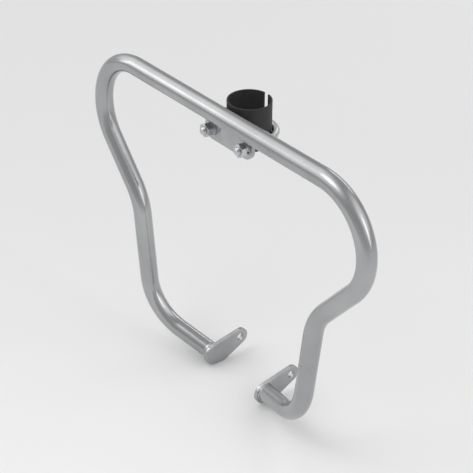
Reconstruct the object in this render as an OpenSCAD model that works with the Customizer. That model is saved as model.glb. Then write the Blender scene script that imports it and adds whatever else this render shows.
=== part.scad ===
// Motorcycle crash bars: one tube bent into a bar with two side loops, hung from the frame's
// downtube by a plate and a U-bolt, with a flat plate at the lower end of each leg.
// The origin is on the downtube's axis, level with the U-bolt. +X is the rider's left,
// -Y is the way the motorcycle travels, and +Z is up along the downtube.

/* [Guard tube] */
// Outside diameter of the guard tube
tube_d = 25.4; // [22:0.1:30]
// Wall of the guard tube
tube_wall = 2; // [1.5:0.1:3]
// Centre line radius of every bend
bend_r = 80; // [60:1:90]
// How much thinner the tube is drawn through a bend
bend_draw = 0.04; // [0.02:0.01:0.1]

/* [Guard shape] */
// Middle to the outer corner of a side loop, where the straight centre lines would meet
wing_x = 358; // [300:1:430]
// Middle to the waist corner, where a loop turns down
waist_x = 183; // [160:1:200]
// Top bar down to the waist corner
waist_drop = 205; // [185:1:240]
// Middle to the knee corner, where a leg turns inwards
knee_x = 162; // [140:1:175]
// Top bar down to the knee corner
knee_drop = 380; // [350:1:430]
// Middle to the outer face of a foot plate, where the tube ends
foot_x = 59; // [45:1:75]
// Top bar down to the tube's end
foot_drop = 412; // [385:1:500]
// How far the tube's end lies behind the plane of the loops
foot_back = 29; // [0:1:50]

/* [Centre plate] */
// Thickness of the plate under the top bar
plate_t = 5; // [4:0.5:8]
// From the centre of each of its holes out to the plate's end
plate_end = 13; // [10:0.5:25]
// From the centres of its holes down to the plate's lower edge
plate_foot = 15.5; // [12:0.5:30]
// Radius of the plate's lower corners
plate_corner_r = 15; // [4:1:16]

/* [Clamp] */
// Diameter of the downtube that the clamp fits
downtube_d = 54; // [42:0.5:54]
// Thickness of the rubber sleeve round the downtube
sleeve_t = 2; // [1:0.5:4]
// How far the rubber sleeve reaches down past the U-bolt's centre
sleeve_below = 16.3; // [8:0.1:30]
// Width of the slit in the sleeve
sleeve_slit = 8; // [2:1:15]
// Centre line of the top bar down to the U-bolt
u_bolt_drop = 31; // [29:1:40]
// Diameter of the U-bolt's rod
rod_d = 10; // [6:1:12]
// Thread that stands out past each nut
thread_out = 4; // [2:1:10]
// Width of a nut across its flats
nut_flats = 17; // [14:0.5:19]
// Height of a nut
nut_h = 8; // [5:0.5:10]
// Outside diameter of a flat washer
washer_d = 20; // [16:0.5:24]
// Thickness of a flat washer
washer_t = 2; // [1:0.2:3]
// Outside diameter of a spring washer
spring_washer_d = 18; // [14:0.2:20]
// Thickness of a spring washer
spring_washer_t = 2.2; // [1.6:0.2:2.8]

/* [Foot plates] */
// Thickness of a foot plate
foot_t = 6; // [4:0.5:8]
// Rim of a foot plate round the tube's end
foot_rim = 3.3; // [2.5:0.1:6]
// Tube's end down to the centre of a foot plate's round front end
foot_nose_drop = 2; // [0:0.5:2]
// Radius of a foot plate's heel, its lower corner
foot_heel_r = 13.5; // [8:0.5:16]
// Tube's end back to the heel's centre
foot_heel_back = 15; // [8:1:25]
// Tube's end down to the heel's centre
foot_heel_drop = 6.5; // [2:0.5:12]
// Radius of a foot plate's rear end, round the bolt hole
foot_eye_r = 13; // [11:0.5:26]
// Tube's end back to the bolt hole
foot_reach = 47; // [40:1:80]
// Tube's end up to the bolt hole
foot_rise = 8; // [-10:1:25]
// Diameter of the bolt hole
foot_hole_d = 10.5; // [8.5:0.5:13]

/* [Clearances] */
// Gap all round between the U-bolt's rod and what it passes through
rod_gap = 0.5; // [0.3:0.1:1]

/* [Hidden] */
$fn = 96;
eps = 0.01;
// How far a straight laps into a bend, where the two are still in line
bend_lap = 0.5;

sleeve_r = downtube_d / 2 + sleeve_t;
sleeve_h = u_bolt_drop + tube_d / 2 + sleeve_below;
// The tube and the plate both lean on the front of the sleeve.
tube_y = -(sleeve_r + tube_d / 2);
tube_z = u_bolt_drop;
plate_back_y = -sleeve_r;
plate_front_y = plate_back_y - plate_t;
washer_front_y = plate_front_y - washer_t;
spring_front_y = washer_front_y - spring_washer_t;
nut_front_y = spring_front_y - nut_h;
thread_end_y = nut_front_y - thread_out;
u_bolt_r = sleeve_r + rod_d / 2;
plate_w = (u_bolt_r + plate_end) * 2;
plate_drop = u_bolt_drop + plate_foot;
foot_nose_r = tube_d / 2 + foot_rim;
foot_y = tube_y + foot_back;
foot_z = tube_z - foot_drop;

// Corners of the left half's centre line, from the middle of the top bar to the tube's end
LEFT_PATH = [
    [0, tube_y, tube_z],
    [wing_x, tube_y, tube_z],
    [waist_x, tube_y, tube_z - waist_drop],
    [knee_x, tube_y, tube_z - knee_drop],
    [foot_x, foot_y, foot_z],
];
last_corner = len(LEFT_PATH) - 2;

function unit(v) = v / norm(v);
// Direction of the straight that leaves corner i
function ahead(i) = unit(LEFT_PATH[i + 1] - LEFT_PATH[i]);
// Angle that the tube turns through at corner i, to a thousandth of a degree
function turn(i) = i == 0 ? 0 : round(acos(ahead(i - 1) * ahead(i)) * 1000) / 1000;
// Distance from corner i to either end of its bend
function setback(i) = bend_r * tan(turn(i) / 2);
function straight(i) = norm(LEFT_PATH[i + 1] - LEFT_PATH[i]) - setback(i)
    - (i == last_corner ? 0 : setback(i + 1));
// Towards the middle of a bend, where bend i starts and where it ends
function inward_start(i) = unit(ahead(i) - (ahead(i) * ahead(i - 1)) * ahead(i - 1));
function inward_end(i) = unit((ahead(i - 1) * ahead(i)) * ahead(i) - ahead(i - 1));
// How far the tube is rolled in the bender, about its own axis, before bend i
function roll(i) = i == 1 ? 0 : let (
    before = inward_end(i - 1),
    after = inward_start(i)
) atan2(cross(before, after) * ahead(i - 1), before * after);

// One bend, from the origin along Z, turning towards X
module bend(angle, d) {
    translate([bend_r, 0, 0])
        rotate([90, 0, 180])
            rotate_extrude(angle = angle)
                translate([bend_r, 0])
                    circle(d = d);
}

// A round bar from straight i to the end of the path, along Z from the origin. Each straight
// laps a little way into the bends beside it, and the last one runs on, to be cut to a face.
module bar_from(i, d, run_on) {
    lap_in = i == 0 ? 0 : bend_lap;
    translate([0, 0, -lap_in])
        cylinder(h = straight(i) + lap_in + (i == last_corner ? run_on : bend_lap), d = d);
    if (i < last_corner)
        translate([0, 0, straight(i)])
            rotate([0, 0, roll(i + 1)]) {
                bend(turn(i + 1), d - bend_draw);
                translate([bend_r, 0, 0])
                    rotate([0, turn(i + 1), 0])
                        translate([-bend_r, 0, 0])
                            bar_from(i + 1, d, run_on);
            }
}

module bar(d, run_on) {
    for (side = [0, 1])
        mirror([side, 0, 0])
            translate(LEFT_PATH[0])
                rotate([0, 90, 0])
                    bar_from(0, d, run_on);
}

module guard_tube() {
    color("gainsboro")
        difference() {
            bar(tube_d, tube_d);
            bar(tube_d - tube_wall * 2, tube_d * 2);
            // The ends are cut off at the outer faces of the foot plates
            translate([-foot_x, foot_y - tube_d * 2, foot_z - tube_d * 2])
                cube([foot_x * 2, tube_d * 4, tube_d * 4]);
        }
}

// Outline of the centre plate, seen from the front, with the top bar's centre line at zero
module plate_outline() {
    half_w = plate_w / 2;
    translate([-half_w, plate_corner_r - plate_drop])
        square([plate_w, plate_drop - plate_corner_r]);
    translate([plate_corner_r - half_w, -plate_drop])
        square([plate_w - plate_corner_r * 2, plate_corner_r + eps]);
    for (side = [-1, 1])
        translate([side * (half_w - plate_corner_r), plate_corner_r - plate_drop])
            circle(r = plate_corner_r);
}

module centre_plate() {
    color("silver")
        difference() {
            translate([0, plate_back_y, tube_z])
                rotate([90, 0, 0])
                    linear_extrude(plate_t)
                        plate_outline();
            translate([-plate_w, tube_y, tube_z])
                rotate([0, 90, 0])
                    cylinder(h = plate_w * 2, d = tube_d);
            // The plate ends where the bar's rear half begins to curve away from it
            translate([-plate_w, plate_front_y - eps, tube_z - tube_d / 4])
                cube([plate_w * 2, plate_t + eps * 2, tube_d]);
            for (side = [-1, 1])
                translate([side * u_bolt_r, plate_back_y + eps, 0])
                    rotate([90, 0, 0])
                        cylinder(h = plate_t + eps * 2, d = rod_d + rod_gap * 2);
        }
}

// The left foot plate stands upright, fore and aft, and the tube's end is welded to its outer face.
// Its outline runs round the tube's end, a heel below and behind that, and the bolt hole.
module foot_plate() {
    eye = [foot_reach, foot_rise];
    translate([foot_x - foot_t, foot_y, foot_z])
        rotate([90, 0, 90])
            linear_extrude(foot_t)
                difference() {
                    hull() {
                        translate([0, -foot_nose_drop])
                            circle(r = foot_nose_r);
                        translate([foot_heel_back, -foot_heel_drop])
                            circle(r = foot_heel_r);
                        translate(eye)
                            circle(r = foot_eye_r);
                    }
                    translate(eye)
                        circle(d = foot_hole_d);
                }
}

module foot_plate_left() {
    color("silver")
        foot_plate();
}

module foot_plate_right() {
    color("silver")
        mirror([1, 0, 0])
            foot_plate();
}

// Rubber strip wrapped round the downtube, level with the top bar and with its slit at the back
module downtube_sleeve() {
    slit_angle = 2 * asin(sleeve_slit / 2 / sleeve_r);
    color("dimgray")
        translate([0, 0, -sleeve_below])
            rotate([0, 0, 90 + slit_angle / 2])
                rotate_extrude(angle = 360 - slit_angle)
                    translate([downtube_d / 2, 0])
                        square([sleeve_t, sleeve_h]);
}

module u_bolt() {
    color("lightgray") {
        rotate_extrude(angle = 180)
            translate([u_bolt_r, 0])
                circle(d = rod_d);
        for (side = [-1, 1])
            translate([side * u_bolt_r, 0, 0])
                rotate([90, 0, 0])
                    cylinder(h = -thread_end_y, d = rod_d);
    }
}

// Puts a fastener on one leg of the U-bolt, with its back face at y
module on_leg(side, y) {
    mirror([side, 0, 0])
        translate([u_bolt_r, y, 0])
            rotate([90, 0, 0])
                children();
}

module flat_washer() {
    color("lightgray")
        difference() {
            cylinder(h = washer_t, d = washer_d);
            translate([0, 0, -eps])
                cylinder(h = washer_t + eps * 2, d = rod_d + rod_gap);
        }
}

// Split ring, with its ends at the side
module spring_washer() {
    split = 18;
    bore_r = rod_d / 2 + rod_gap / 5;
    color("gray")
        rotate_extrude(angle = 360 - split)
            translate([bore_r, 0])
                square([spring_washer_d / 2 - bore_r, spring_washer_t]);
}

module hex_nut() {
    corner_d = nut_flats / cos(30);
    color("lightgray")
        difference() {
            intersection() {
                cylinder(h = nut_h, d = corner_d, $fn = 6);
                // The chamfer turns the six corners down at both faces
                cylinder(h = nut_h, d1 = nut_flats * 0.95, d2 = nut_flats * 0.95 + nut_h * 2 * sqrt(3));
                cylinder(h = nut_h, d1 = nut_flats * 0.95 + nut_h * 2 * sqrt(3), d2 = nut_flats * 0.95);
            }
            translate([0, 0, -eps])
                cylinder(h = nut_h + eps * 2, d = rod_d);
        }
}

module flat_washer_left() {
    on_leg(0, plate_front_y)
        flat_washer();
}

module flat_washer_right() {
    on_leg(1, plate_front_y)
        flat_washer();
}

module spring_washer_left() {
    on_leg(0, washer_front_y)
        spring_washer();
}

module spring_washer_right() {
    on_leg(1, washer_front_y)
        spring_washer();
}

module hex_nut_left() {
    on_leg(0, spring_front_y)
        hex_nut();
}

module hex_nut_right() {
    on_leg(1, spring_front_y)
        hex_nut();
}

guard_tube();
centre_plate();
foot_plate_left();
foot_plate_right();
downtube_sleeve();
u_bolt();
flat_washer_left();
flat_washer_right();
spring_washer_left();
spring_washer_right();
hex_nut_left();
hex_nut_right();
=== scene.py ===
import math

import bmesh
import bpy
import numpy as np
from mathutils import Matrix, Vector


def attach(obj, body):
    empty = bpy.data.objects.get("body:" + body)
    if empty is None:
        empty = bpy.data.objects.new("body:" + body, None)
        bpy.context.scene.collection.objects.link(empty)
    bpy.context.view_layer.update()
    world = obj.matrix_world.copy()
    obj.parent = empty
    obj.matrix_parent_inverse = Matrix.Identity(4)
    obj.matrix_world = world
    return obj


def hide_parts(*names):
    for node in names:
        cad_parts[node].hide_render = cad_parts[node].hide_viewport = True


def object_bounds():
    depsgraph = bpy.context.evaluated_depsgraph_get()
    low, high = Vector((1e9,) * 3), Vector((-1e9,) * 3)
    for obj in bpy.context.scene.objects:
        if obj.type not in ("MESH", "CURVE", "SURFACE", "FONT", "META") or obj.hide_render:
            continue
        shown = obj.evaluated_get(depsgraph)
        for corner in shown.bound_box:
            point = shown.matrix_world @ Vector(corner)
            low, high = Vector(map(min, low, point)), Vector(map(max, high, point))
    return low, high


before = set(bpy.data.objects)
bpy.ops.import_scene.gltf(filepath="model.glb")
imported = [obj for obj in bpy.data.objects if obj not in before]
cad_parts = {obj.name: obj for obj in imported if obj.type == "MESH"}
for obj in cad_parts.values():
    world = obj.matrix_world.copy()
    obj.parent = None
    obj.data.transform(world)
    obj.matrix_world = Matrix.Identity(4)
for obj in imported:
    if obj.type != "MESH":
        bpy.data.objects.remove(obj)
cad_low, cad_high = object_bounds()


# The camera looks from the guard's front left and about 30 degrees above it, from the place that
# the photograph was taken from. It is turned towards the guard, with a lens that lets it fill the view.
CAMERA_AT = Vector((1.2494, -1.0485, 0.8871))
CAMERA_AIM = Vector((-0.0056, -0.0143, -0.1577))
CAMERA_ROLL = math.radians(0.607)
LENS_MM, SENSOR_MM = 111.0, 36.0
SEES_TO = 60.0

camera = bpy.data.objects.new("camera", bpy.data.cameras.new("camera"))
camera.data.lens = LENS_MM
camera.data.sensor_width = SENSOR_MM
camera.data.clip_end = SEES_TO
facing = (CAMERA_AIM - CAMERA_AT).to_track_quat("-Z", "Y").to_matrix().to_4x4()
camera.matrix_world = Matrix.Translation(CAMERA_AT) @ facing @ Matrix.Rotation(CAMERA_ROLL, 4, "Z")
bpy.context.scene.collection.objects.link(camera)
bpy.context.scene.camera = camera
bpy.context.scene.view_settings.view_transform = "Standard"


# The studio: a pale floor with painted light on it, lighter in front and darker behind the guard as if lit
# from the front, that sweeps into a pale surround, which glows softly at two places, as an overcast sky
# does.
# The metal mirrors both, which gives it form.
FLOOR_SIZE, FLOOR_BELOW = 16.0, 0.0004
FLOOR_ROUGHNESS, FLOOR_SHINE = 0.9, 0.1
# The floor's greys in front and behind, painted light and painted shade, the way that counts as the front,
# from which the painted light falls, and how far the change reaches
FLOOR_PAINTED_LIGHT, FLOOR_PAINTED_SHADE = 0.86, 0.72
FLOOR_FRONT_WAY = (0.77, -0.64, 0.0)
FLOOR_FADE = 0.75
SWEEP_START, SWEEP_END = 1.6, 4.5
HORIZON_GREY = 0.60
# Height of a direction, from 0 straight down to 1 straight up, and the surround's grey there
SKY_BANDS = (
    (0.00, HORIZON_GREY), (0.51, HORIZON_GREY), (0.60, 0.54), (0.72, 0.48), (0.88, 0.58), (1.00, 0.50),
)
GLOWS = (
    # way towards it, cosine of the angle where it begins, cosine where it is full, strength
    ((-0.66, -0.36, 0.66), 0.55, 0.99, 0.95),
    ((0.76, 0.38, 0.56), 0.66, 0.97, 0.75),
)
# Between these heights of a direction the glows fade in, so that the horizon stays even
GLOW_FROM, GLOW_FULL = 0.52, 0.68
SOFT_BOXES = (
    # name, place, aim, width, height, power
    ("box_above", (-0.5, -1.2, 1.9), (0.0, 0.0, -0.15), 1.0, 1.0, 7.0),
    ("box_side", (2.1, 0.5, 0.7), (0.0, 0.0, -0.2), 0.5, 1.6, 4.0),
    ("box_far", (-2.0, -1.2, 0.9), (0.0, 0.0, -0.2), 0.5, 1.6, 3.0),
    ("box_behind", (-0.6, 2.2, 1.1), (0.0, 0.0, -0.1), 1.4, 0.5, 5.0),
)


def new_material(name):
    """An empty node material, with its principled shader and node tree."""
    material = bpy.data.materials.new(name)
    material.use_nodes = True
    return material, material.node_tree, material.node_tree.nodes["Principled BSDF"]


def mesh_piece(name, vertices, faces, material, smooth=True):
    """A mesh object from an array of points and an array or list of faces, with one material."""
    mesh = bpy.data.meshes.new(name)
    mesh.from_pydata(np.asarray(vertices).tolist(), [], [list(map(int, f)) for f in faces])
    mesh.polygons.foreach_set("use_smooth", np.full(len(mesh.polygons), smooth))
    mesh.materials.append(material)
    mesh.validate()
    mesh.update()
    piece = bpy.data.objects.new(name, mesh)
    bpy.context.scene.collection.objects.link(piece)
    return piece


floor_material, tree, shader = new_material("studio_floor")
shader.inputs["Roughness"].default_value = FLOOR_ROUGHNESS
shader.inputs["Specular IOR Level"].default_value = FLOOR_SHINE
place = tree.nodes.new("ShaderNodeTexCoord")
forward = tree.nodes.new("ShaderNodeVectorMath")
forward.operation = "DOT_PRODUCT"
forward.inputs[1].default_value = FLOOR_FRONT_WAY
# Painted light: the floor's colour goes from painted shade behind the guard to painted light in front
painted_light = tree.nodes.new("ShaderNodeMapRange")
painted_light.interpolation_type = "SMOOTHSTEP"
painted_light.inputs["From Min"].default_value = -FLOOR_FADE
painted_light.inputs["From Max"].default_value = FLOOR_FADE
painted_light.inputs["To Min"].default_value = FLOOR_PAINTED_SHADE
painted_light.inputs["To Max"].default_value = FLOOR_PAINTED_LIGHT
distance = tree.nodes.new("ShaderNodeVectorMath")
distance.operation = "LENGTH"
sweep = tree.nodes.new("ShaderNodeMapRange")
sweep.interpolation_type = "SMOOTHSTEP"
sweep.inputs["From Min"].default_value = SWEEP_START
sweep.inputs["From Max"].default_value = SWEEP_END
surround = tree.nodes.new("ShaderNodeEmission")
surround.inputs["Color"].default_value = (HORIZON_GREY, HORIZON_GREY, HORIZON_GREY, 1)
both = tree.nodes.new("ShaderNodeMixShader")
tree.links.new(place.outputs["Object"], forward.inputs[0])
tree.links.new(forward.outputs["Value"], painted_light.inputs["Value"])
tree.links.new(painted_light.outputs["Result"], shader.inputs["Base Color"])
tree.links.new(place.outputs["Object"], distance.inputs[0])
tree.links.new(distance.outputs["Value"], sweep.inputs["Value"])
tree.links.new(sweep.outputs["Result"], both.inputs["Fac"])
tree.links.new(shader.outputs["BSDF"], both.inputs[1])
tree.links.new(surround.outputs["Emission"], both.inputs[2])
tree.links.new(both.outputs["Shader"], tree.nodes["Material Output"].inputs["Surface"])

floor_z = cad_low.z - FLOOR_BELOW
half = FLOOR_SIZE / 2
floor = mesh_piece(
    "floor",
    [(-half, -half, floor_z), (half, -half, floor_z), (half, half, floor_z), (-half, half, floor_z)],
    [(0, 1, 2, 3)], floor_material, smooth=False,
)

world = bpy.data.worlds.new("studio")
bpy.context.scene.world = world
world.use_nodes = True
tree = world.node_tree
direction = tree.nodes.new("ShaderNodeTexCoord")
split = tree.nodes.new("ShaderNodeSeparateXYZ")
height = tree.nodes.new("ShaderNodeMapRange")
height.inputs["From Min"].default_value = -1.0
bands = tree.nodes.new("ShaderNodeValToRGB")
bands.color_ramp.interpolation = "EASE"
while len(bands.color_ramp.elements) < len(SKY_BANDS):
    bands.color_ramp.elements.new(0.5)
for stop, (at, grey) in zip(bands.color_ramp.elements, SKY_BANDS):
    stop.position = at
    stop.color = (grey, grey, grey, 1)
fade = tree.nodes.new("ShaderNodeMapRange")
fade.interpolation_type = "SMOOTHSTEP"
fade.inputs["From Min"].default_value = GLOW_FROM
fade.inputs["From Max"].default_value = GLOW_FULL
tree.links.new(direction.outputs["Generated"], split.inputs["Vector"])
tree.links.new(split.outputs["Z"], height.inputs["Value"])
tree.links.new(height.outputs["Result"], bands.inputs["Fac"])
tree.links.new(height.outputs["Result"], fade.inputs["Value"])
light = bands.outputs["Color"]
for towards, begins, full, strength in GLOWS:
    nearness = tree.nodes.new("ShaderNodeVectorMath")
    nearness.operation = "DOT_PRODUCT"
    nearness.inputs[1].default_value = Vector(towards).normalized()
    glow = tree.nodes.new("ShaderNodeMapRange")
    glow.interpolation_type = "SMOOTHSTEP"
    glow.inputs["From Min"].default_value = begins
    glow.inputs["From Max"].default_value = full
    glow.inputs["To Max"].default_value = strength
    # The light so far, plus the glow times its fade
    lit = tree.nodes.new("ShaderNodeMath")
    lit.operation = "MULTIPLY_ADD"
    tree.links.new(direction.outputs["Generated"], nearness.inputs[0])
    tree.links.new(nearness.outputs["Value"], glow.inputs["Value"])
    tree.links.new(glow.outputs["Result"], lit.inputs[0])
    tree.links.new(fade.outputs["Result"], lit.inputs[1])
    tree.links.new(light, lit.inputs[2])
    light = lit.outputs["Value"]
tree.links.new(light, tree.nodes["Background"].inputs["Color"])

for name, at, aim, width, tall, power in SOFT_BOXES:
    lamp = bpy.data.lights.new(name, "AREA")
    lamp.shape = "RECTANGLE"
    lamp.size, lamp.size_y = width, tall
    lamp.energy = power
    box = bpy.data.objects.new(name, lamp)
    box.location = at
    box.rotation_mode = "QUATERNION"
    box.rotation_quaternion = (Vector(aim) - Vector(at)).to_track_quat("-Z", "Y")
    bpy.context.scene.collection.objects.link(box)


# The guard tube: one length of 1 inch round steel tube, bent cold into a bar with a loop at each
# side, polished along its length and chrome plated. Its ends are cut to the foot plates' faces.
TUBE_D = 0.0254
TUBE_WALL = 0.002
BEND_R = 0.080
TUBE_Y, TUBE_Z = -0.0417, 0.031
FOOT_X = 0.059
CORNERS = np.array([
    (0.0, TUBE_Y, TUBE_Z),
    (0.358, TUBE_Y, TUBE_Z),
    (0.183, TUBE_Y, TUBE_Z - 0.205),
    (0.162, TUBE_Y, TUBE_Z - 0.380),
    (FOOT_X, TUBE_Y + 0.029, TUBE_Z - 0.412),
])
SIDES = 72
RING_GAP = 0.010
BEND_STEP = math.radians(1.5)
# Each bend is pressed flat by this share of the tube's width, towards its centre
FLATTENING = 0.022
EASE_IN = math.radians(9)
# Faces that meet at more than this angle keep a crease, here and on the foot plates
CREASE = math.radians(40)


def unit(v):
    """Vectors divided by their own lengths."""
    v = np.asarray(v, float)
    return v / np.linalg.norm(v, axis=-1, keepdims=True)


def turned(v, axis, angle):
    """v turned about a unit axis by each angle: v cos a + (axis x v) sin a + axis (axis . v)(1 - cos a)."""
    a = np.asarray(angle)[..., None]
    return v * np.cos(a) + np.cross(axis, v) * np.sin(a) + axis * np.dot(axis, v) * (1 - np.cos(a))


def bent_line(corners, radius):
    """Centre line of a bent tube. A bend at a corner starts radius * tan(turn / 2) before it, and its
    points are the bend's centre plus the start's spoke turned about the bend's axis. Between bends
    the points lie evenly on the straight. Gives the points, the directions along the tube, a side
    vector that is carried along unturned, the direction to the bend's centre, and how far into its
    flattened stretch each point is, from 0 to 1."""
    ahead = unit(np.diff(corners, axis=0))
    side = np.array((0.0, 1.0, 0.0))
    parts = []
    at = corners[0]
    for i, along in enumerate(ahead):
        last = i == len(ahead) - 1
        turn = 0.0 if last else math.acos(np.dot(along, ahead[i + 1]))
        start = corners[i + 1] - along * radius * math.tan(turn / 2)
        count = max(2, int(np.linalg.norm(start - at) / RING_GAP))
        share = np.linspace(0, 1, count, endpoint=last)[:, None]
        straight = at + (start - at) * share
        parts.append((straight, np.tile(along, (count, 1)), np.tile(side, (count, 1)),
                      np.zeros((count, 3)), np.zeros(count)))
        if last:
            break
        axis = unit(np.cross(along, ahead[i + 1]))
        inward = np.cross(axis, along)
        angle = np.linspace(0, turn, int(turn / BEND_STEP) + 1, endpoint=False)
        centre = start + inward * radius
        ramp = np.clip(np.minimum(angle, turn - angle) / EASE_IN, 0, 1)
        parts.append((centre + turned(-inward * radius, axis, angle), turned(along, axis, angle),
                      turned(side, axis, angle), turned(inward, axis, angle), ramp * ramp * (3 - 2 * ramp)))
        at = centre + turned(-inward * radius, axis, [turn])[0]
        side = turned(side, axis, [turn])[0]
    return [np.concatenate(p) for p in zip(*parts)]


def both_halves(half):
    """The whole line from its left half: the half mirrored in x and reversed, then the half itself."""
    mirror = np.array((-1.0, 1.0, 1.0))
    points, along, side, inward, amount = half
    return [
        np.concatenate([(points * mirror)[:0:-1], points]),
        np.concatenate([(-along * mirror)[:0:-1], along]),
        np.concatenate([(side * mirror)[:0:-1], side]),
        np.concatenate([(inward * mirror)[:0:-1], inward]),
        np.concatenate([amount[:0:-1], amount]),
    ]


def tube_rings(line, radius, sides):
    """Rings of points round a line: radius * (side cos t + up sin t), less a share of what of it
    points to the bend's centre. The end rings are slid along the tube onto the planes x = +-FOOT_X."""
    points, along, side, inward, amount = line
    up = np.cross(along, side)
    t = np.linspace(0, 2 * np.pi, sides, endpoint=False)[None, :, None]
    spoke = radius * (side[:, None] * np.cos(t) + up[:, None] * np.sin(t))
    depth = (spoke * inward[:, None]).sum(2, keepdims=True)
    ring = points[:, None] + spoke - FLATTENING * amount[:, None, None] * depth * inward[:, None]
    for end, plane in ((0, -FOOT_X), (-1, FOOT_X)):
        slide = (plane - ring[end, :, 0]) / along[end, 0]
        ring[end] += slide[:, None] * along[end]
    return ring


def grid_quads(rows, columns, wrap_rows=False, wrap_columns=True):
    """Quads that join a grid of points numbered row by row, closed round either way if asked."""
    r = np.arange(rows if wrap_rows else rows - 1)[:, None]
    c = np.arange(columns if wrap_columns else columns - 1)[None, :]
    r2, c2 = (r + 1) % rows, (c + 1) % columns
    corners = (r * columns + c, r * columns + c2, r2 * columns + c2, r2 * columns + c)
    return np.stack(corners, -1).reshape(-1, 4)


def ring_faces(rows, columns, closed=False):
    """Faces of a grid of rings: its quads, and one face over each end unless the rings close round."""
    faces = grid_quads(rows, columns, wrap_rows=closed).tolist()
    if not closed:
        faces += [list(range(columns))[::-1], [(rows - 1) * columns + k for k in range(columns)]]
    return faces


def run_map(piece, rows, columns, across, along):
    """The piece's own map: u runs round its section and v along its length, both in metres. Quads are
    in grid order, so each corner's row and column follow from its number."""
    quad = np.arange(len(piece.data.polygons))
    row, column = quad // columns, quad % columns
    u = np.stack([column, column + 1, column + 1, column], -1) * across
    along = np.append(along, along[-1])
    v = np.stack([along[row % rows], along[row % rows], along[row % rows + 1], along[row % rows + 1]], -1)
    layer = piece.data.uv_layers.new(name="run")
    layer.data.foreach_set("uv", np.stack([u, v], -1).ravel())


def node_group(name, inputs, outputs):
    """An empty shader node group with these inputs, (name, default), and outputs, (name, kind)."""
    group = bpy.data.node_groups.new(name, "ShaderNodeTree")
    for label, value in inputs:
        kind = "NodeSocketVector" if value is None else "NodeSocketFloat"
        made = group.interface.new_socket(label, in_out="INPUT", socket_type=kind)
        if value is not None:
            made.default_value = value
    for label, kind in outputs:
        group.interface.new_socket(label, in_out="OUTPUT", socket_type=kind)
    return group, group.nodes.new("NodeGroupInput"), group.nodes.new("NodeGroupOutput")


def noise_node(tree, scale, detail, roughness=0.5):
    """A noise texture of that scale and detail."""
    noise = tree.nodes.new("ShaderNodeTexNoise")
    noise.inputs["Scale"].default_value = scale
    noise.inputs["Detail"].default_value = detail
    noise.inputs["Roughness"].default_value = roughness
    return noise


# Polish: hair-fine lines that run one way, under wide soft clouds where the wheel pressed more.
# Run is the map that the lines follow, drawn out by Stretch, and Place is where the clouds lie.
# Height feeds a bump, Haze goes from 0, mirror bright, to 1, dull.
HAIR_LINES, STREAKS, CLOUDS = 2400.0, 420.0, 14.0
STREAK_HAZE, CLOUD_HAZE = 0.30, 0.65
CLOUD_BEGINS, CLOUD_FULL = 0.35, 0.75
polish, given, result = node_group(
    "polish", [("Run", None), ("Stretch", None), ("Place", None), ("Cloud", CLOUDS)],
    [("Height", "NodeSocketFloat"), ("Haze", "NodeSocketFloat")],
)
stretched = polish.nodes.new("ShaderNodeVectorMath")
stretched.operation = "MULTIPLY"
lines = noise_node(polish, HAIR_LINES, 3.0, 0.6)
clouds = noise_node(polish, CLOUDS, 4.0)
streaks = noise_node(polish, STREAKS, 3.0, 0.6)
haze = polish.nodes.new("ShaderNodeMath")
haze.operation = "MULTIPLY_ADD"
haze.inputs[1].default_value = STREAK_HAZE
share = polish.nodes.new("ShaderNodeMapRange")
share.inputs["From Min"].default_value = CLOUD_BEGINS
share.inputs["From Max"].default_value = CLOUD_FULL
share.inputs["To Max"].default_value = CLOUD_HAZE
polish.links.new(given.outputs["Run"], stretched.inputs[0])
polish.links.new(given.outputs["Stretch"], stretched.inputs[1])
polish.links.new(stretched.outputs["Vector"], lines.inputs["Vector"])
polish.links.new(stretched.outputs["Vector"], streaks.inputs["Vector"])
polish.links.new(given.outputs["Place"], clouds.inputs["Vector"])
polish.links.new(given.outputs["Cloud"], clouds.inputs["Scale"])
polish.links.new(clouds.outputs["Fac"], share.inputs["Value"])
polish.links.new(streaks.outputs["Fac"], haze.inputs[0])
polish.links.new(share.outputs["Result"], haze.inputs[2])
polish.links.new(lines.outputs["Fac"], result.inputs["Height"])
polish.links.new(haze.outputs["Value"], result.inputs["Haze"])


def metal(name, bright, dull, roughness, run, stretch, relief, cloud=CLOUDS):
    """A bare metal: the colour goes from bright to dull and the roughness from the first number to the
    second as the polish's haze rises. Its hair lines follow the map called run, are drawn out most
    along the axis with the least stretch, and stand relief metres high."""
    material, tree, shader = new_material(name)
    shader.inputs["Metallic"].default_value = 1.0
    where = tree.nodes.new("ShaderNodeTexCoord")
    marks = tree.nodes.new("ShaderNodeGroup")
    marks.node_tree = polish
    marks.inputs["Stretch"].default_value = stretch
    marks.inputs["Cloud"].default_value = cloud
    colour = tree.nodes.new("ShaderNodeMix")
    colour.data_type = "RGBA"
    colour.inputs["A"].default_value = (*bright, 1)
    colour.inputs["B"].default_value = (*dull, 1)
    spread = tree.nodes.new("ShaderNodeMapRange")
    spread.inputs["To Min"].default_value, spread.inputs["To Max"].default_value = roughness
    bump = tree.nodes.new("ShaderNodeBump")
    bump.inputs["Distance"].default_value = relief
    bump.inputs["Strength"].default_value = 1.0
    tree.links.new(where.outputs[run], marks.inputs["Run"])
    tree.links.new(where.outputs["Object"], marks.inputs["Place"])
    tree.links.new(marks.outputs["Haze"], colour.inputs["Factor"])
    tree.links.new(marks.outputs["Haze"], spread.inputs["Value"])
    tree.links.new(marks.outputs["Height"], bump.inputs["Height"])
    tree.links.new(colour.outputs["Result"], shader.inputs["Base Color"])
    tree.links.new(spread.outputs["Result"], shader.inputs["Roughness"])
    tree.links.new(bump.outputs["Normal"], shader.inputs["Normal"])
    return material


CHROME_BRIGHT, CHROME_DULL = (0.46, 0.465, 0.47), (0.33, 0.335, 0.345)
tube_chrome = metal(
    "tube_chrome", CHROME_BRIGHT, CHROME_DULL, roughness=(0.16, 0.33),
    run="UV", stretch=(1.0, 0.03, 1.0), relief=0.0000012,
)

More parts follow.
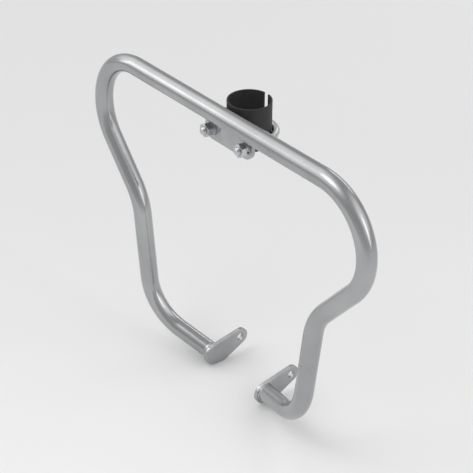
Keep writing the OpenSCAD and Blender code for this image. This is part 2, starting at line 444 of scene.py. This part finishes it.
line = both_halves(bent_line(CORNERS, BEND_R))
skin = tube_rings(line, TUBE_D / 2, SIDES)
bore = tube_rings(line, TUBE_D / 2 - TUBE_WALL, SIDES)
count = len(skin)
# The bore's rings come back the other way, so that the skin, the bore and both cut ends close
shell = np.concatenate([skin, bore[::-1]])
guard_tube = mesh_piece(
    "guard_tube_chromed", shell.reshape(-1, 3), grid_quads(2 * count, SIDES, wrap_rows=True), tube_chrome,
)
step = np.linalg.norm(np.diff(line[0], axis=0), axis=1)
length = np.concatenate([[0], np.cumsum(step)])
run_map(guard_tube, 2 * count, SIDES, np.pi * TUBE_D / SIDES, np.concatenate([length, length[::-1]]))
guard_tube.data.set_sharp_from_angle(angle=CREASE)
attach(guard_tube, "root")
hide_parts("guard_tube")


# The centre plate: laser-cut steel, coped to the tube and welded under the top bar, then chromed
# with it. It is the CAD plate with its sharp edges eased, as they are before plating.
EASED_EDGE = 0.0005
FLAT_WITHIN, EDGE_FROM = math.radians(2), math.radians(35)
SAME_POINT = 0.00001
plate_chrome = metal(
    "plate_chrome", CHROME_BRIGHT, CHROME_DULL, roughness=(0.15, 0.32),
    run="Object", stretch=(0.10, 0.10, 1.0), relief=0.0000012, cloud=30.0,
)


def eased_copy(name, node, width, material):
    """A copy of a CAD node as one welded skin, its flat faces made whole, with its edges rounded."""
    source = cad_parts[node]
    mesh = source.data.copy()
    form = bmesh.new()
    form.from_mesh(mesh)
    bmesh.ops.remove_doubles(form, verts=form.verts, dist=SAME_POINT)
    bmesh.ops.dissolve_limit(form, angle_limit=FLAT_WITHIN, verts=form.verts, edges=form.edges)
    form.to_mesh(mesh)
    form.free()
    mesh.materials.clear()
    mesh.materials.append(material)
    mesh.polygons.foreach_set("use_smooth", np.ones(len(mesh.polygons), bool))
    piece = bpy.data.objects.new(name, mesh)
    bpy.context.scene.collection.objects.link(piece)
    rounding = piece.modifiers.new("eased_edges", "BEVEL")
    rounding.width = width
    rounding.segments = 3
    rounding.limit_method = "ANGLE"
    rounding.angle_limit = EDGE_FROM
    rounding.harden_normals = True
    return piece


centre_plate = eased_copy("centre_plate_chromed", "centre_plate", EASED_EDGE, plate_chrome)
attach(centre_plate, "root")
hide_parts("centre_plate")


# The foot plates: 6 mm steel, cut round the tube's end, a heel below it and the bolt hole behind.
# Their edges are rounded and the holes lightly countersunk before they are plated.
PLATE_T = 0.006
BOLT_HOLE_R = 0.00525
FOOT_AT = CORNERS[-1]
EYE = np.array((0.047, 0.008))
# Middles and radii of the rounds that the outline is drawn over, behind and above the tube's end
ROUND_AT = np.array(((0.0, -0.002), (0.015, -0.0065), EYE))
ROUND_R = np.array((0.016, 0.0135, 0.013))
EDGE_ROUND = 0.0009
HOLE_EDGE = 0.0005
OUTLINE_POINTS, TANGENTS = 320, 1440
# Tangents that face a bearing by less than this cosine don't bound the outline there
FACING_LEAST = 0.02


def outline_bearings():
    """Bearings from the bolt hole's middle, all the way round, closer together towards the far end:
    bearing = bearing of the far end + s - 0.6 sin s."""
    s = np.linspace(-np.pi, np.pi, OUTLINE_POINTS, endpoint=False)
    away = ROUND_AT[0] - EYE
    return math.atan2(away[1], away[0]) + s - 0.6 * np.sin(s)


def drawn_round(inset):
    """The outline drawn tight over the three rounds, moved in by inset. A line square to angle t can
    come as near as h(t) = greatest of (middle . u(t) + radius), so along a bearing b the outline lies
    at the least of (h(t) - inset - hole's middle . u(t)) / cos(t - b) over all t."""
    t = np.linspace(-np.pi, np.pi, TANGENTS, endpoint=False)
    u = np.stack([np.cos(t), np.sin(t)])
    reach = (ROUND_AT @ u + ROUND_R[:, None]).max(0) - inset - EYE @ u
    b = outline_bearings()
    facing = np.cos(t[None, :] - b[:, None])
    far = np.where(facing > FACING_LEAST, reach / np.maximum(facing, FACING_LEAST), np.inf).min(1)
    return EYE + far[:, None] * np.stack([np.cos(b), np.sin(b)], -1)


def foot_plate(side):
    """A plate as rings of points that run from the hole's wall over one face, round the outer edge and
    back over the other face. A ring is the outline moved in, or the hole's circle made larger, and
    its depth on the rounded edge is the edge's radius * (1 - sin a), inset radius * (1 - cos a)."""
    toward = outline_bearings()

    def hole(radius):
        return EYE + radius * np.stack([np.cos(toward), np.sin(toward)], -1)

    a = np.linspace(0, np.pi / 2, 6)
    edge = [(drawn_round(EDGE_ROUND * (1 - math.sin(x))), EDGE_ROUND * (1 - math.cos(x))) for x in a]
    # The two rings beside the rounded edges keep the face between them flat
    front = [(hole(BOLT_HOLE_R), HOLE_EDGE), (hole(BOLT_HOLE_R + HOLE_EDGE), 0.0),
             (hole(BOLT_HOLE_R + HOLE_EDGE * 1.6), 0.0), (drawn_round(EDGE_ROUND * 1.5), 0.0), *edge]
    back = [(shape, PLATE_T - depth) for shape, depth in front[::-1]]
    rings = np.stack([
        np.insert(FOOT_AT[1:] + shape, 0, side * (FOOT_X - depth), axis=1) for shape, depth in front + back
    ])
    quads = grid_quads(len(rings), rings.shape[1], wrap_rows=True)
    return rings.reshape(-1, 3), quads[:, ::-1] if side > 0 else quads


for side, name in ((1, "left"), (-1, "right")):
    plate = mesh_piece(f"foot_plate_{name}_chromed", *foot_plate(side), plate_chrome)
    plate.data.set_sharp_from_angle(angle=CREASE)
    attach(plate, "root")
    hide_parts(f"foot_plate_{name}")


# The welds: beads run by hand with a wire welder, round each end of the tube where it meets its
# foot plate, and along the centre plate in front of and behind it. They are plated over.
weld_chrome = metal(
    "weld_chrome", CHROME_BRIGHT, CHROME_DULL, roughness=(0.18, 0.36),
    run="Object", stretch=(0.5, 0.5, 0.5), relief=0.000006, cloud=60.0,
)
RIPPLE_PITCH, RIPPLE_DEPTH = 0.0021, 0.075
# How far a ripple's crescent lags at the bead's sides, in ripples
CRESCENT = 0.45
# The hand slows down and hurries on by this many ripples, over this many ripples
DRIFT, DRIFT_OVER = 0.45, 5.3
# Where the hand is slow a ripple is higher by this share
SLOW_HIGHER = 0.35
# The bead's root lies this share of its legs inside the metal
ROOT = 0.12
SECTION_POINTS, END_BEAD_ROWS, BAR_BEAD_ROWS = 13, 360, 420
END_FULLNESS, BAR_FULLNESS = 1.35, 1.7
BEAD_CREASE = math.radians(65)


def weld_bead(corner, leg_a, leg_b, closed, fullness):
    """Rows of points across a seam: corner + a cos(t)^f + b sin(t)^f, where a and b lie on the two
    metals, f is the fullness and t goes from one metal to the other. The bead swells in crescents,
    1 + depth (|sin(pi phase)| - 0.6) sin(2 t)^0.5, whose phase grows along the seam, drifts as a slow
    sine, and lags at both sides. The last point of each row is the root, inside the metal."""
    after = corner[:1] if closed else corner[-1:]
    gap = np.linalg.norm(np.diff(corner, axis=0, append=after), axis=1)
    run = np.concatenate([[0], np.cumsum(gap)[:-1]])
    if closed:
        ripples = round(gap.sum() / RIPPLE_PITCH)
        run = run / gap.sum() * ripples
        slow = 2 * np.pi * run / ripples * round(ripples / DRIFT_OVER)
    else:
        run = run / RIPPLE_PITCH
        slow = 2 * np.pi * run / DRIFT_OVER
    height = RIPPLE_DEPTH * (1 + SLOW_HIGHER * np.cos(slow))[:, None]
    run = run + DRIFT * np.sin(slow)
    t = np.linspace(0, np.pi / 2, SECTION_POINTS)
    lag = CRESCENT * ((t - np.pi / 4) / (np.pi / 4)) ** 2
    swell = 1 + height * (np.abs(np.sin(np.pi * (run[:, None] + lag))) - 0.6) * np.sin(2 * t) ** 0.5
    a = (np.cos(t) ** fullness)[None, :, None] * leg_a[:, None]
    b = (np.sin(t) ** fullness)[None, :, None] * leg_b[:, None]
    face = corner[:, None] + (a + b) * swell[:, :, None]
    root = corner - ROOT * (leg_a + leg_b)
    return np.concatenate([face, root[:, None]], axis=1)


def bead_piece(name, rows, closed, flip):
    """A bead from its rows, its faces turned over if asked."""
    faces = ring_faces(*rows.shape[:2], closed)
    if flip:
        faces = [f[::-1] for f in faces]
    bead = mesh_piece(name, rows.reshape(-1, 3), faces, weld_chrome)
    bead.data.set_sharp_from_angle(angle=BEAD_CREASE)
    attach(bead, "root")
    return bead


END_BEAD_ON_PLATE, END_BEAD_ON_TUBE, END_BEAD_LEAST = 0.0016, 0.0034, 0.0006
points, along, side_way, _, _ = line
for end, sign, name in ((-1, 1, "left"), (0, -1, "right")):
    # The seam is the cut end of the tube, a slanted ellipse on the foot plate's outer face
    turn = np.linspace(0, 2 * np.pi, END_BEAD_ROWS, endpoint=False)[:, None]
    up = np.cross(along[end], side_way[end])
    seam = points[end] + TUBE_D / 2 * (side_way[end] * np.cos(turn) + up * np.sin(turn))
    seam = seam + ((sign * FOOT_X - seam[:, 0]) / along[end, 0])[:, None] * along[end]
    out = unit(seam - seam.mean(0))
    # Where the plate's rounded edge comes close, the bead is narrower
    room = ROUND_R[0] - EDGE_ROUND - np.linalg.norm(seam[:, 1:] - FOOT_AT[1:] - ROUND_AT[0], axis=1)
    on_plate = np.clip(room, END_BEAD_LEAST, END_BEAD_ON_PLATE)[:, None]
    on_tube = np.tile(-along[end] * (1 if end else -1) * END_BEAD_ON_TUBE, (len(seam), 1))
    rows = weld_bead(seam, out * on_plate, on_tube, True, END_FULLNESS)
    bead_piece(f"weld_foot_{name}", rows, True, flip=sign < 0)

PLATE_FRONT_Y, PLATE_HALF_W = -0.034, 0.047
COPE_TOP = TUBE_Z - TUBE_D / 4
BEAD_HALF_LENGTH = PLATE_HALF_W - 0.001
BEAD_END_ROUND, BEAD_END_LEAST = 0.003, 0.03
FRONT_BEAD = 0.0042
BACK_BEAD_ON_PLATE, BACK_BEAD_ON_TUBE = 0.0016, 0.0034


def bar_seam(y, z, plate_way, tube_way, on_plate, on_tube):
    """Seam and legs of a straight bead along the top bar. Both legs shrink in a half round at its
    ends: with s the share of the round that is left, they are sqrt(1 - (1 - s)^2) of their size."""
    x = np.linspace(-BEAD_HALF_LENGTH, BEAD_HALF_LENGTH, BAR_BEAD_ROWS)
    left = np.clip((BEAD_HALF_LENGTH - np.abs(x)) / BEAD_END_ROUND, 0, 1)
    size = np.sqrt(1 - (1 - left) ** 2) * (1 - BEAD_END_LEAST) + BEAD_END_LEAST
    seam = np.column_stack([x, np.full_like(x, y), np.full_like(x, z)])
    leg_a = size[:, None] * np.array(plate_way) * on_plate
    leg_b = size[:, None] * np.array(tube_way) * on_tube
    return seam, leg_a, leg_b


# In front the tube's underside and the plate's face meet in a groove that the bead fills
dy = PLATE_FRONT_Y - TUBE_Y
groove_z = TUBE_Z - math.sqrt((TUBE_D / 2) ** 2 - dy ** 2)
down_tube = np.array((0.0, -(TUBE_Z - groove_z), -dy)) / (TUBE_D / 2)
seam = bar_seam(PLATE_FRONT_Y, groove_z, (0, 0, -1), down_tube, FRONT_BEAD, FRONT_BEAD)
bead_piece("weld_plate_front", weld_bead(*seam, False, BAR_FULLNESS), False, flip=True)

# Behind, a thin bead lies on the plate's top edge, flush with its back
back_y = TUBE_Y + math.sqrt((TUBE_D / 2) ** 2 - (TUBE_Z - COPE_TOP) ** 2)
up_tube = np.array((0.0, TUBE_Z - COPE_TOP, back_y - TUBE_Y)) / (TUBE_D / 2)
seam = bar_seam(back_y, COPE_TOP, (0, 1, 0), up_tube, BACK_BEAD_ON_PLATE, BACK_BEAD_ON_TUBE)
bead_piece("weld_plate_back", weld_bead(*seam, False, BAR_FULLNESS), False, flip=False)


# The rubber sleeve: a strip of black rubber wrapped round the downtube so that the clamp grips
# it without marking it. It is squeezed in under the U-bolt's rod and swells a little beside it.
SLEEVE_BORE_R, SLEEVE_R = 0.027, 0.029
SLEEVE_LOW, SLEEVE_HIGH = -0.0163, 0.0437
SLEEVE_SLIT, SLEEVE_EDGE = 0.008, 0.0006
SLEEVE_SECTIONS, SLEEVE_SPANS = 181, 48
SLEEVE_CREASE = math.radians(50)
# Under the rod the rubber gives way, and at the swell's middle beside it the rubber stands out
SQUEEZE, SQUEEZE_WIDTH = 0.00035, 0.0030
SWELL_AT, SWELL_WIDTH = 0.0062, 0.0022
# Sine of the angle round the sleeve where the squeeze begins, and where it is full
SQUEEZE_FROM, SQUEEZE_FULL = -0.1, 0.4
RUBBER_DARK, RUBBER_GREY = (0.016, 0.016, 0.017, 1), (0.045, 0.044, 0.043, 1)
RUBBER_ROUGHNESS, RUBBER_SHINE = (0.50, 0.82), 0.35
RUBBER_GRAIN, RUBBER_PATCHES, GRAIN_RELIEF = 2200.0, 55.0, 0.00006

rubber, tree, shader = new_material("sleeve_rubber")
shader.inputs["Specular IOR Level"].default_value = RUBBER_SHINE
where = tree.nodes.new("ShaderNodeTexCoord")
grain = noise_node(tree, RUBBER_GRAIN, 3.0, 0.6)
patches = noise_node(tree, RUBBER_PATCHES, 4.0)
shade = tree.nodes.new("ShaderNodeMix")
shade.data_type = "RGBA"
shade.inputs["A"].default_value = RUBBER_DARK
shade.inputs["B"].default_value = RUBBER_GREY
dullness = tree.nodes.new("ShaderNodeMapRange")
dullness.inputs["To Min"].default_value, dullness.inputs["To Max"].default_value = RUBBER_ROUGHNESS
bump = tree.nodes.new("ShaderNodeBump")
bump.inputs["Distance"].default_value = GRAIN_RELIEF
tree.links.new(where.outputs["Object"], grain.inputs["Vector"])
tree.links.new(where.outputs["Object"], patches.inputs["Vector"])
tree.links.new(patches.outputs["Fac"], shade.inputs["Factor"])
tree.links.new(patches.outputs["Fac"], dullness.inputs["Value"])
tree.links.new(grain.outputs["Fac"], bump.inputs["Height"])
tree.links.new(shade.outputs["Result"], shader.inputs["Base Color"])
tree.links.new(dullness.outputs["Result"], shader.inputs["Roughness"])
tree.links.new(bump.outputs["Normal"], shader.inputs["Normal"])


def rounded_box(low_r, high_r, low_z, high_z, corner, steps=4, spans=1):
    """Outline in the (r, z) plane of a rectangle with quarter-round corners, closed, with its long
    sides cut into that many spans."""
    a = np.linspace(0, np.pi / 2, steps + 1)
    arc = corner * np.stack([np.cos(a), np.sin(a)], -1)
    quarter = ((high_r, high_z, 0), (low_r, high_z, 1), (low_r, low_z, 2), (high_r, low_z, 3))
    outline = []
    for r, z, k in quarter:
        c, s = round(math.cos(k * np.pi / 2)), round(math.sin(k * np.pi / 2))
        spun = np.stack([arc[:, 0] * c - arc[:, 1] * s, arc[:, 0] * s + arc[:, 1] * c], -1)
        outward = np.sign((r - (low_r + high_r) / 2, z - (low_z + high_z) / 2))
        outline.append(np.array((r, z)) - corner * outward + spun)
    share = np.linspace(0, 1, spans + 1)[1:-1, None]
    inner = outline[1][-1] + (outline[2][0] - outline[1][-1]) * share
    outer = outline[3][-1] + (outline[0][0] - outline[3][-1]) * share
    return np.concatenate([outline[0], outline[1], inner, outline[2], outline[3], outer])


def spun_grid(profile, angles):
    """A profile of (r, z) points turned to each angle: (r cos a, r sin a, z)."""
    a = np.asarray(angles)[:, None]
    r, z = profile[None, :, 0], profile[None, :, 1]
    return np.stack([r * np.cos(a), r * np.sin(a), np.broadcast_to(z, (len(a), len(profile)))], -1)


slit = math.asin(SLEEVE_SLIT / 2 / SLEEVE_R)
section = rounded_box(SLEEVE_BORE_R, SLEEVE_R, SLEEVE_LOW, SLEEVE_HIGH, SLEEVE_EDGE, spans=SLEEVE_SPANS)
angles = np.pi / 2 + np.linspace(2 * np.pi - slit, slit, SLEEVE_SECTIONS)
sleeve = spun_grid(section, angles)
# The squeeze acts only on the outside and at the back, where nothing else leans on the rubber:
# squeeze * (exp(-((|z| - swell) / its width)^2) - 0.6 exp(-(z / squeeze's width)^2))
outside = (section[:, 0] > (SLEEVE_BORE_R + SLEEVE_R) / 2)[None, :]
behind = np.clip((np.sin(angles) - SQUEEZE_FROM) / (SQUEEZE_FULL - SQUEEZE_FROM), 0, 1)[:, None]
z = section[None, :, 1]
swell = np.exp(-((np.abs(z) - SWELL_AT) / SWELL_WIDTH) ** 2) - 0.6 * np.exp(-(z / SQUEEZE_WIDTH) ** 2)
push = SQUEEZE * behind * outside * swell
sleeve[..., :2] *= (1 + push / SLEEVE_R)[..., None]
sleeve_piece = mesh_piece(
    "downtube_sleeve_rubber", sleeve.reshape(-1, 3), ring_faces(*sleeve.shape[:2]), rubber,
)
sleeve_piece.data.set_sharp_from_angle(angle=SLEEVE_CREASE)
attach(sleeve_piece, "root")
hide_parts("downtube_sleeve")


# The U-bolt: 10 mm steel rod bent round the downtube, with an M10 thread rolled on both legs and
# zinc plated. The thread runs from behind the plate to the chamfered ends.
zinc = metal(
    "bright_zinc", (0.60, 0.612, 0.63), (0.44, 0.455, 0.47), roughness=(0.24, 0.44),
    run="Object", stretch=(0.8, 0.8, 0.8), relief=0.000006, cloud=120.0,
)
ROD_R = 0.005
U_BOLT_R = SLEEVE_R + ROD_R
THREAD_PITCH, THREAD_DEPTH = 0.0015, 0.0008
THREAD_FROM, THREAD_END_Y, THREAD_CHAMFER = -0.0205, -0.0502, 0.0013
# The thread's triangle reaches this share beyond its depth at crest and root, and is cut off there
THREAD_CUT = 0.125
ROD_SIDES, BOW_STEPS = 36, 97
ROD_CREASE = math.radians(36)


def leg_rings(x, way):
    """Rings down a leg: the radius is the rod's less the thread's depth * v, where v is a triangle
    wave of (distance / pitch - way * angle / turn), cut off flat at crest and root. It fades in over
    two pitches, and at the end the radius closes along a 45 degree chamfer."""
    plain = np.linspace(0, -THREAD_FROM, 10, endpoint=False)
    threaded = np.arange(-THREAD_FROM, -THREAD_END_Y, THREAD_PITCH / 9)
    s = np.concatenate([plain, threaded, [-THREAD_END_Y]])[:, None]
    a = np.linspace(0, 2 * np.pi, ROD_SIDES, endpoint=False)[None, :]
    phase = (s / THREAD_PITCH - way * a / (2 * np.pi)) % 1
    wave = np.clip((1 + 2 * THREAD_CUT) * (1 - np.abs(2 * phase - 1)) - THREAD_CUT, 0, 1)
    fade = np.clip((s + THREAD_FROM) / (2 * THREAD_PITCH), 0, 1)
    radius = ROD_R - THREAD_DEPTH * wave * fade
    radius = np.minimum(radius, ROD_R - THREAD_CHAMFER + (-THREAD_END_Y - s))
    return np.stack([x + radius * np.cos(a), np.broadcast_to(-s, radius.shape), radius * np.sin(a)], -1)


# The bow between the legs: a half ring whose points are (reach cos b, reach sin b, rod sin a)
bend = np.linspace(0, np.pi, BOW_STEPS)[1:-1]
around = np.linspace(0, 2 * np.pi, ROD_SIDES, endpoint=False)[None, :]
reach = U_BOLT_R + ROD_R * np.cos(around)
bow = np.stack([reach * np.cos(bend[:, None]), reach * np.sin(bend[:, None]),
                np.broadcast_to(ROD_R * np.sin(around), (len(bend), ROD_SIDES))], -1)
left_leg = leg_rings(U_BOLT_R, 1)
right_leg = leg_rings(U_BOLT_R, -1) * np.array((-1, 1, 1))
rod = np.concatenate([right_leg[::-1], bow[::-1], left_leg])
u_bolt = mesh_piece("u_bolt_zinc", rod.reshape(-1, 3), ring_faces(*rod.shape[:2]), zinc)
u_bolt.data.set_sharp_from_angle(angle=ROD_CREASE)
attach(u_bolt, "root")
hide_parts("u_bolt")


# On each leg, from the plate outwards: a stamped flat washer, a split spring washer and a forged
# hexagon nut, all zinc plated.
WASHER_T, WASHER_R, WASHER_BORE_R, WASHER_EDGE = 0.002, 0.010, 0.00525, 0.0003
SPRING_T, SPRING_R, SPRING_BORE_R, SPRING_EDGE = 0.0022, 0.009, 0.0051, 0.00025
SPRING_SPLIT, SPRING_LEAN = math.radians(18), math.radians(10)
NUT_H, NUT_FLATS, NUT_BORE_R, NUT_BORE_EDGE = 0.008, 0.017, 0.005, 0.0005
# The turned chamfer's radius at the nut's faces as a share of its flats, and how high it reaches
NUT_FACE, NUT_CHAMFER = 0.475, 0.0008
# The corners are blunted to this share of their full reach
NUT_CORNER = 0.985
WASHER_SIDES, SPRING_SIDES, NUT_SIDES = 96, 90, 144
FASTENER_CREASE = math.radians(25)


def on_leg(points, sign, y):
    """Points round the z axis laid on a leg of the U-bolt: (x, y, z) goes to (leg + x, y0 - z, y), and
    the right leg is the left one's mirror image."""
    return np.stack([sign * (U_BOLT_R + points[..., 0]), y - points[..., 2], points[..., 1]], -1)


def nut_grid():
    """A hexagon nut as rings. Across the flats the side is flats / 2 / cos(angle to the flat's middle),
    and the turned chamfer limits it to face share * flats plus height * sqrt 3 from either face."""
    a = np.linspace(0, 2 * np.pi, NUT_SIDES, endpoint=False)[None, :]
    to_flat = (a + np.pi / 6) % (np.pi / 3) - np.pi / 6
    side = np.minimum(NUT_FLATS / 2 / np.cos(to_flat), NUT_FLATS / 2 / math.cos(math.pi / 6) * NUT_CORNER)
    low = np.linspace(0, NUT_CHAMFER, 9)[:, None]
    z = np.concatenate([low, [[NUT_H / 2]], NUT_H - low[::-1]])
    limit = NUT_FACE * NUT_FLATS + math.sqrt(3) * np.minimum(z, NUT_H - z)
    body = np.minimum(side, limit)
    wide = NUT_BORE_R + NUT_BORE_EDGE
    bore = [(wide, 0), (NUT_BORE_R, NUT_BORE_EDGE), (NUT_BORE_R, NUT_H - NUT_BORE_EDGE), (wide, NUT_H)]
    rings = [np.stack([r * np.cos(a), r * np.sin(a), np.full_like(a, h)], -1) for r, h in bore]
    flank = np.stack([body * np.cos(a), body * np.sin(a), np.broadcast_to(z, body.shape)], -1)
    return np.concatenate([flank, *rings[::-1]], axis=0)


nut = nut_grid()
washer_section = rounded_box(WASHER_BORE_R, WASHER_R, 0, WASHER_T, WASHER_EDGE)
washer = spun_grid(washer_section, np.linspace(0, 2 * np.pi, WASHER_SIDES, endpoint=False))
spring_section = rounded_box(SPRING_BORE_R, SPRING_R, 0, SPRING_T, SPRING_EDGE)
spring = spun_grid(spring_section, np.linspace(0, 2 * np.pi - SPRING_SPLIT, SPRING_SIDES))
# The split is cut on a slant, so both its faces lean as the ring goes from back to front
lean = (spring[..., 2] / SPRING_T - 0.5) * SPRING_LEAN
spring = np.stack([spring[..., 0] * np.cos(lean) - spring[..., 1] * np.sin(lean),
                   spring[..., 0] * np.sin(lean) + spring[..., 1] * np.cos(lean), spring[..., 2]], -1)
for sign, name in ((1, "left"), (-1, "right")):
    fasteners = (
        # kind, grid, where it starts, whether it closes round
        ("flat_washer", washer, PLATE_FRONT_Y, True),
        ("spring_washer", spring, PLATE_FRONT_Y - WASHER_T, False),
        ("hex_nut", nut, PLATE_FRONT_Y - WASHER_T - SPRING_T, True),
    )
    for kind, grid, y, whole in fasteners:
        faces = ring_faces(*grid.shape[:2], closed=whole)
        piece = mesh_piece(f"{kind}_{name}_zinc", on_leg(grid, sign, y).reshape(-1, 3), faces, zinc)
        form = bmesh.new()
        form.from_mesh(piece.data)
        bmesh.ops.recalc_face_normals(form, faces=form.faces)
        form.to_mesh(piece.data)
        form.free()
        piece.data.set_sharp_from_angle(angle=FASTENER_CREASE)
        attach(piece, "root")
        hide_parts(f"{kind}_{name}")
